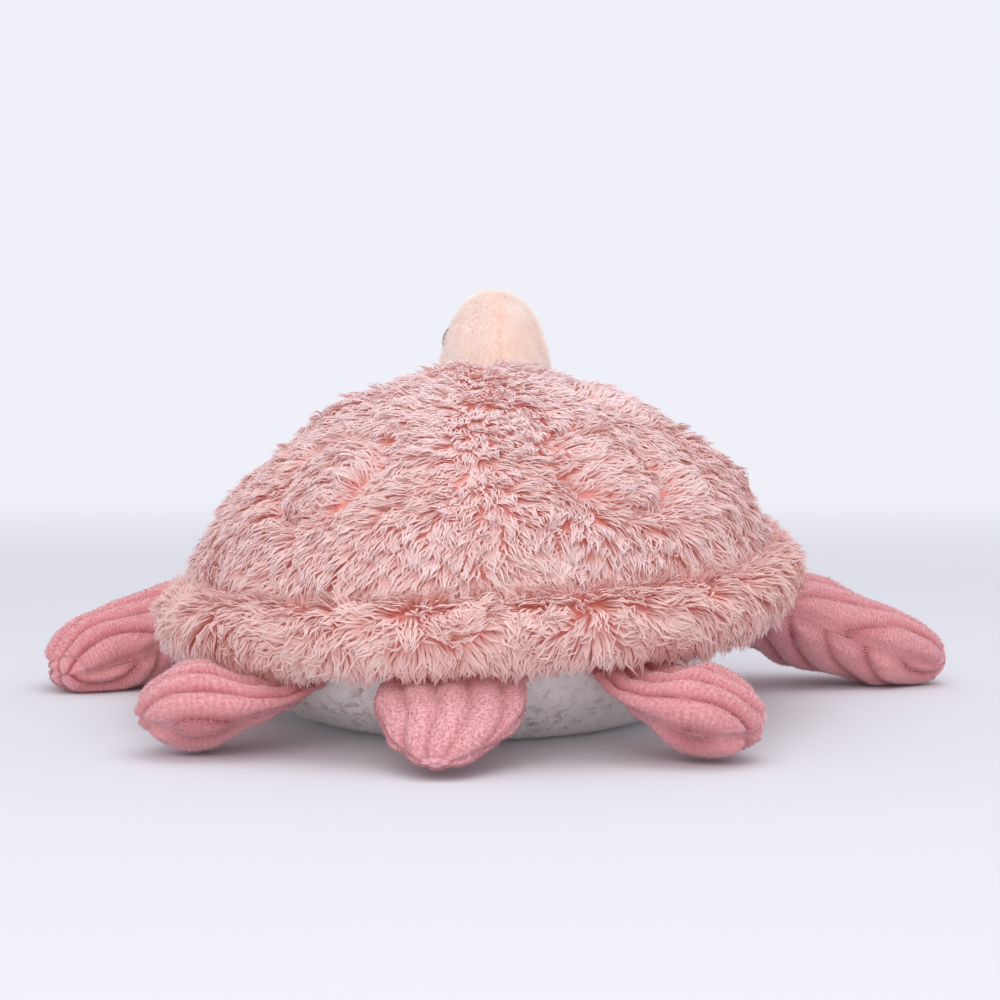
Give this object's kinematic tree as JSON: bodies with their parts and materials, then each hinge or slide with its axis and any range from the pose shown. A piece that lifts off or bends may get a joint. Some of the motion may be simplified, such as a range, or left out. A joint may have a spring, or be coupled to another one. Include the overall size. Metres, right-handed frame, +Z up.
{
  "type": "plush turtle",
  "caption": "Plush sea turtle with a quilted fur shell, a rolled rim, ribbed flippers and tail, a soft belly and a head that turns on a bent neck",
  "frame": {"origin": "Middle of the flat patch that the belly rests on, at floor level", "axes": "+Z up, +Y toward the head, +X toward the turtle's right side as seen from behind"},
  "size_m": [0.3851, 0.3889, 0.1721],
  "materials": {
    "shell_fur": "long clumped pile, pale tips over coral roots",
    "ribbed_cloth": "rib cloth with a fine nub, matt",
    "belly_cloth": "short white and grey pile",
    "head_cloth": "short soft peach pile",
    "white_stuffing": "loose polyester fibre",
    "eye_black": "glossy",
    "washer_white": "matt, hidden"
  },
  "bodies": {
    "body": {"belly_panel": "belly_cloth", "body_stuffing": "white_stuffing", "shell_cover": "shell_fur", "shell_wadding": "white_stuffing", "shell_rim_cover": "shell_fur", "shell_rim_filling": "white_stuffing", "front_right_flipper_seam": "ribbed_cloth", "front_left_flipper_seam": "ribbed_cloth", "rear_right_flipper_seam": "ribbed_cloth", "rear_left_flipper_seam": "ribbed_cloth", "tail_seam": "ribbed_cloth", "neck_seam": "head_cloth"},
    "front_right_flipper": {"front_right_flipper_upper_panel": "ribbed_cloth", "front_right_flipper_lower_panel": "ribbed_cloth", "front_right_flipper_stuffing": "white_stuffing"},
    "front_left_flipper": {"front_left_flipper_upper_panel": "ribbed_cloth", "front_left_flipper_lower_panel": "ribbed_cloth", "front_left_flipper_stuffing": "white_stuffing"},
    "rear_right_flipper": {"rear_right_flipper_upper_panel": "ribbed_cloth", "rear_right_flipper_lower_panel": "ribbed_cloth", "rear_right_flipper_stuffing": "white_stuffing"},
    "rear_left_flipper": {"rear_left_flipper_upper_panel": "ribbed_cloth", "rear_left_flipper_lower_panel": "ribbed_cloth", "rear_left_flipper_stuffing": "white_stuffing"},
    "tail": {"tail_upper_panel": "ribbed_cloth", "tail_lower_panel": "ribbed_cloth", "tail_stuffing": "white_stuffing"},
    "neck": {"neck_cover": "head_cloth", "neck_stuffing": "white_stuffing"},
    "head": {"head_left_panel": "head_cloth", "head_right_panel": "head_cloth", "head_stuffing": "white_stuffing", "eye_left": "eye_black", "eye_right": "eye_black", "eye_washer_left": "washer_white", "eye_washer_right": "washer_white"}
  },
  "joints": [
    {"name": "front_right_flipper_lift", "type": "hinge", "parent": "body", "child": "front_right_flipper", "pos_m": [0.08634, 0.06652, 0.0494], "axis": [-0.3946, 0.9058, 0.1544], "range_deg": [-6, 25], "stiffness_Nm_per_rad": 0.3},
    {"name": "front_left_flipper_lift", "type": "hinge", "parent": "body", "child": "front_left_flipper", "pos_m": [-0.08634, 0.06652, 0.03948], "axis": [-0.3839, -0.8813, -0.2755], "range_deg": [-6, 25], "stiffness_Nm_per_rad": 0.3},
    {"name": "rear_right_flipper_lift", "type": "hinge", "parent": "body", "child": "rear_right_flipper", "pos_m": [0.05981, -0.10151, 0.03142], "axis": [0.7038, 0.7097, 0.0314], "range_deg": [-6, 25], "stiffness_Nm_per_rad": 0.15},
    {"name": "rear_left_flipper_lift", "type": "hinge", "parent": "body", "child": "rear_left_flipper", "pos_m": [-0.0653, -0.09596, 0.02386], "axis": [0.7023, -0.7112, 0.0306], "range_deg": [-6, 25], "stiffness_Nm_per_rad": 0.15},
    {"name": "tail_lift", "type": "hinge", "parent": "body", "child": "tail", "pos_m": [-0.00178, -0.12564, 0.0287], "axis": [0.993, -0.1176, 0.0068], "range_deg": [-6, 20], "stiffness_Nm_per_rad": 0.1},
    {"name": "neck_nod", "type": "hinge", "parent": "body", "child": "neck", "pos_m": [0, 0.12585, 0.05371], "axis": [-1, 0, -0.0027], "range_deg": [-8, 12], "stiffness_Nm_per_rad": 0.9},
    {"name": "head_turn", "type": "hinge", "parent": "neck", "child": "head", "pos_m": [-0.00367, 0.17846, 0.10715], "axis": [0, 0, 1], "range_deg": [-30, 30], "stiffness_Nm_per_rad": 0.08}
  ]
}
